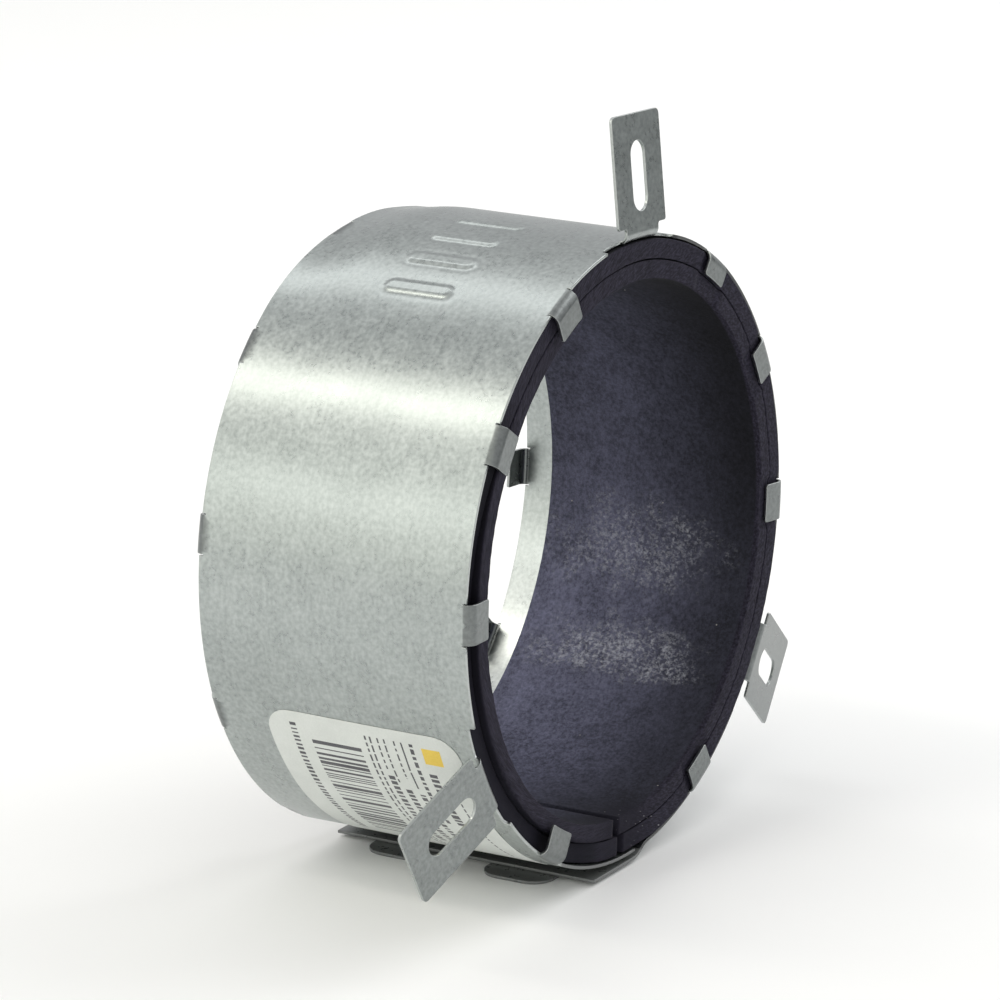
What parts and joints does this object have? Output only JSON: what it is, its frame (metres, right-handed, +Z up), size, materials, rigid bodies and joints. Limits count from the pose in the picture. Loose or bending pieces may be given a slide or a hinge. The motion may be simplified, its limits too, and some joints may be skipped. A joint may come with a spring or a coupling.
{
  "type": "pipe fire collar",
  "caption": "Round sheet steel fire collar for a plastic pipe: a folded ring with a swelling liner, retaining tabs on both rims and slotted fixing lugs.",
  "frame": {"origin": "on the ring's axis, in the plane of the cut rim on the wall side, where the pipe enters", "axes": "+X along the ring's axis towards the wall side with the lugs; +Z up, away from the folded closure that it rests on; -Y the side with the closure's free edge"},
  "size_m": [0.0668, 0.168, 0.1637],
  "materials": {
    "galvanised_steel": "satin",
    "swelling_liner": "matte",
    "label_paper": "matte"
  },
  "bodies": {
    "root": {"housing": "galvanised_steel", "liner_outer": "swelling_liner", "liner_inner": "swelling_liner", "label": "label_paper"}
  },
  "joints": []
}
